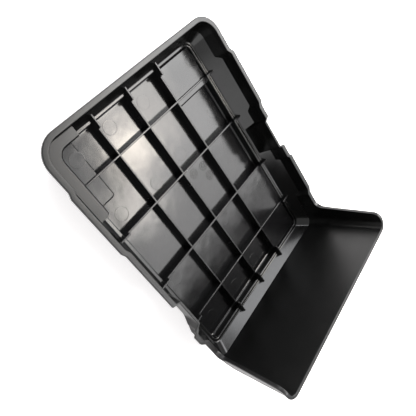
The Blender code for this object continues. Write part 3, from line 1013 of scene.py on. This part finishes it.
@dataclass(frozen=True)
class Moulded:
    """Black polypropylene as it left the mould, from polished to spark-eroded."""

    name: str
    dark: str
    light: str
    roughness: tuple[float, float]
    grain_mm: float
    grain_depth_mm: float
    wave_mm: float
    wave_depth_mm: float
    cloud_mm: float = 18.0
    specular: float = 0.5

    def material(self) -> bpy.types.Material:
        """Build the node material.

        Returns:
            A material whose colour, roughness and bump follow Object coordinates.
        """
        made = bpy.data.materials.new(self.name)
        made.use_nodes = True
        tree = made.node_tree
        shader = tree.nodes["Principled BSDF"]
        shader.inputs["Metallic"].default_value = 0.0
        shader.inputs["IOR"].default_value = 1.49
        shader.inputs["Specular IOR Level"].default_value = self.specular
        place = add_node(tree, "ShaderNodeTexCoord").outputs["Object"]
        clouds = add_node(tree, "ShaderNodeTexNoise", {}, {
            "Vector": place, "Scale": 1000.0 / self.cloud_mm,
            "Detail": 5.0, "Roughness": 0.6}).outputs["Fac"]
        colour = add_node(tree, "ShaderNodeMix", {"data_type": "RGBA"}, {
            0: clouds, 6: linear(self.dark), 7: linear(self.light)})
        rough = add_node(tree, "ShaderNodeMapRange", {}, {
            "Value": clouds, "From Min": 0.3, "From Max": 0.7,
            "To Min": self.roughness[0], "To Max": self.roughness[1]})
        waves = add_node(tree, "ShaderNodeTexNoise", {}, {
            "Vector": place, "Scale": 1000.0 / self.wave_mm, "Detail": 2.0, "Roughness": 0.5})
        grain = add_node(tree, "ShaderNodeTexNoise", {}, {
            "Vector": place, "Scale": 1000.0 / self.grain_mm, "Detail": 2.0, "Roughness": 0.6})
        wavy = add_node(tree, "ShaderNodeBump", {}, {
            "Strength": 1.0, "Distance": self.wave_depth_mm * MM, "Height": waves.outputs["Fac"]})
        grained = add_node(tree, "ShaderNodeBump", {}, {
            "Strength": 1.0, "Distance": self.grain_depth_mm * MM, "Height": grain.outputs["Fac"],
            "Normal": wavy.outputs["Normal"]})
        tree.links.new(colour.outputs[2], shader.inputs["Base Color"])
        tree.links.new(rough.outputs["Result"], shader.inputs["Roughness"])
        tree.links.new(grained.outputs["Normal"], shader.inputs["Normal"])
        return made


# Polished mould face: deep black with clear, slightly rippled reflections.
PANEL = Moulded("polypropylene_polished_panel", "#0B0B0C", "#101011", (0.12, 0.18), 0.5, 0.0015, 22.0, 0.25)
# Satin mould face of the walls: black with soft reflections.
WALL = Moulded("polypropylene_satin_walls", "#090909", "#0F0F0F", (0.13, 0.19), 0.6, 0.003, 30.0, 0.03)
# Fine spark-eroded grain of the rim: greyer, broad highlights.
RIM = Moulded("polypropylene_grained_rim", "#0C0C0D", "#131314", (0.30, 0.38), 0.7, 0.012, 20.0, 0.02)
# Inside of the apron: satin, with a soft sheen.
APRON = Moulded("polypropylene_satin_apron", "#080808", "#0D0D0D", (0.30, 0.36), 0.6, 0.004, 40.0, 0.03,
                specular=0.38)
# Outside of the cover: fine grain all over.
OUTSIDE = Moulded("polypropylene_grained_outside", "#0B0B0C", "#121213", (0.36, 0.44), 0.8, 0.02, 30.0, 0.03)
# Ribs: milled mould slots, satin with faint draw marks.
RIB = Moulded("polypropylene_satin_ribs", "#0B0B0C", "#111112", (0.20, 0.28), 0.5, 0.003, 25.0, 0.02)
# Corner pad: the rim's grain on a flat face.
PAD = Moulded("polypropylene_grained_pad", "#0A0A0B", "#111112", (0.30, 0.38), 0.7, 0.01, 20.0, 0.02)


# Studio


@dataclass(frozen=True)
class Panel:
    """One level light over the table: its middle, size, radiance and colour."""

    name: str
    x: float
    y: float
    width: float
    depth: float
    radiance: float
    colour: str = "#FFFFFF"


@dataclass
class Studio:
    """White table, soft light from a ceiling and one brighter lamp, and the camera."""

    camera_place: Vector = field(default_factory=lambda: Vector((-0.1761, 0.1459, 0.3019)))
    camera_back: Vector = field(default_factory=lambda: Vector((-0.4635, 0.4251, 0.7775)))
    camera_up: Vector = field(default_factory=lambda: Vector((0.6801, 0.7331, 0.0047)))
    lens: float = 34.27
    world_strength: float = 0.65
    panels: tuple[Panel, ...] = (
        Panel("ceiling_near", 1.10, 0.0, 1.2, 0.9, 7.2),
        Panel("ceiling_far", 0.88, -0.61, 1.15, 0.34, 4.3),
        Panel("ceiling_front", 0.70, -1.10, 1.3, 0.44, 1.5),
        Panel("ceiling_back", 0.95, 0.20, 0.7, 0.4, 4.0),
        Panel("lamp_halo", 0.66, -0.12, 0.40, 0.36, 4.0, "#FFF6EA"),
        Panel("lamp", 0.57, -0.20, 0.18, 0.18, 17.0, "#FFF3E2"),
        Panel("left_fill", 0.37, -0.26, 0.24, 0.44, 3.2),
        Panel("left_strip", 0.42, -0.38, 0.20, 0.16, 13.0, "#FFF8EE"),
        Panel("front_left", 0.13, -0.72, 0.25, 0.4, 9.0))
    height: float = 1.2
    drop: float = 0.006
    table_glow: float = 0.6
    window_radiance: float = 6.0
    side_radiance: float = 1.4

    def table(self) -> None:
        """A wide white table top under the cover."""
        deselect_all()
        bpy.ops.mesh.primitive_plane_add(size=6.0, location=(0.0, 0.0, 0.0))
        table = bpy.context.object
        table.name = "table_top"
        table.data.transform(Matrix.Translation((0.0, 0.0, -0.0004)))
        made = bpy.data.materials.new("white_laminate")
        made.use_nodes = True
        shader = made.node_tree.nodes["Principled BSDF"]
        place = add_node(made.node_tree, "ShaderNodeTexCoord").outputs["Object"]
        noise = add_node(made.node_tree, "ShaderNodeTexNoise", {}, {"Vector": place, "Scale": 6.0})
        colour = add_node(made.node_tree, "ShaderNodeMix", {"data_type": "RGBA"}, {
            0: noise.outputs["Fac"], 6: linear("#F4F2F2"), 7: linear("#FAF9F9")})
        made.node_tree.links.new(colour.outputs[2], shader.inputs["Base Color"])
        shader.inputs["Roughness"].default_value = 0.6
        shader.inputs["Specular IOR Level"].default_value = 0.2
        shader.inputs["Emission Color"].default_value = linear("#FDFBFB")
        shader.inputs["Emission Strength"].default_value = self.table_glow
        table.data.materials.append(made)

    def panel_light(self, name: str, place: Vector, aim: Vector, size: tuple[float, float],
                    radiance: float, colour: str) -> None:
        """Add a rectangular light that gives a set radiance."""
        deselect_all()
        bpy.ops.object.light_add(type="AREA", location=place)
        light = bpy.context.object
        light.name = name
        light.data.shape = "RECTANGLE"
        light.data.size, light.data.size_y = size
        light.data.energy = radiance * math.pi * size[0] * size[1]
        light.data.color = linear(colour)[:3]
        light.rotation_mode = "QUATERNION"
        light.rotation_quaternion = (place - aim).to_track_quat("Z", "Y")

    def lights(self) -> None:
        """Hang the ceiling panels, stand the two windows and set the world's even light."""
        for number, p in enumerate(self.panels):
            place = Vector((p.x, p.y, self.height - self.drop * number))
            under = place * Vector((1.0, 1.0, 0.0))
            self.panel_light(p.name, place, under, (p.width, p.depth), p.radiance, p.colour)
        self.panel_light("back_window", Vector((0.75, 1.4, 0.75)), Vector((0.75, 0.0, 0.1)), (0.68, 1.0),
                         self.window_radiance, "#FBFCFF")
        self.panel_light("side_window", Vector((-1.25, -0.65, 0.6)), Vector((0.08, 0.0, 0.0)), (1.1, 0.6),
                         self.side_radiance, "#FFFFFF")
        world = bpy.data.worlds.new("studio")
        bpy.context.scene.world = world
        world.use_nodes = True
        background = world.node_tree.nodes["Background"]
        background.inputs["Color"].default_value = linear("#FFFFFF")
        background.inputs["Strength"].default_value = self.world_strength

    def camera(self) -> None:
        """Place the camera, rolled as it was held."""
        deselect_all()
        bpy.ops.object.camera_add(location=self.camera_place)
        camera = bpy.context.object
        back = self.camera_back.normalized()
        right = self.camera_up.cross(back).normalized()
        up = back.cross(right)
        camera.rotation_mode = "QUATERNION"
        camera.rotation_quaternion = Matrix((right, up, back)).transposed().to_quaternion()
        camera.data.sensor_width = 36.0
        camera.data.lens = self.lens
        camera.data.clip_start = 0.01
        bpy.context.scene.camera = camera

    def build(self) -> None:
        """Set up the whole studio."""
        self.table()
        self.lights()
        self.camera()
        bpy.context.scene.view_settings.view_transform = "Standard"


def main() -> None:
    """Build every sub-assembly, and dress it."""
    logging.basicConfig(level=logging.INFO, format="%(message)s")
    plan = ShellPlan()
    shell = Shell(plan)
    shell.build()
    shell.dress(dict(zip(Zone, (PANEL, WALL, RIM, APRON, OUTSIDE))))
    for assembly, finish in ((RibGrid(plan), RIB), (Lands(plan), PANEL), (CornerPad(plan), PAD),
                             (EjectorMarks(plan), PANEL), (MouldDials(plan), PANEL)):
        assembly.build()
        assembly.dress(finish)
    Studio().build()


if __name__ == "__main__":
    main()
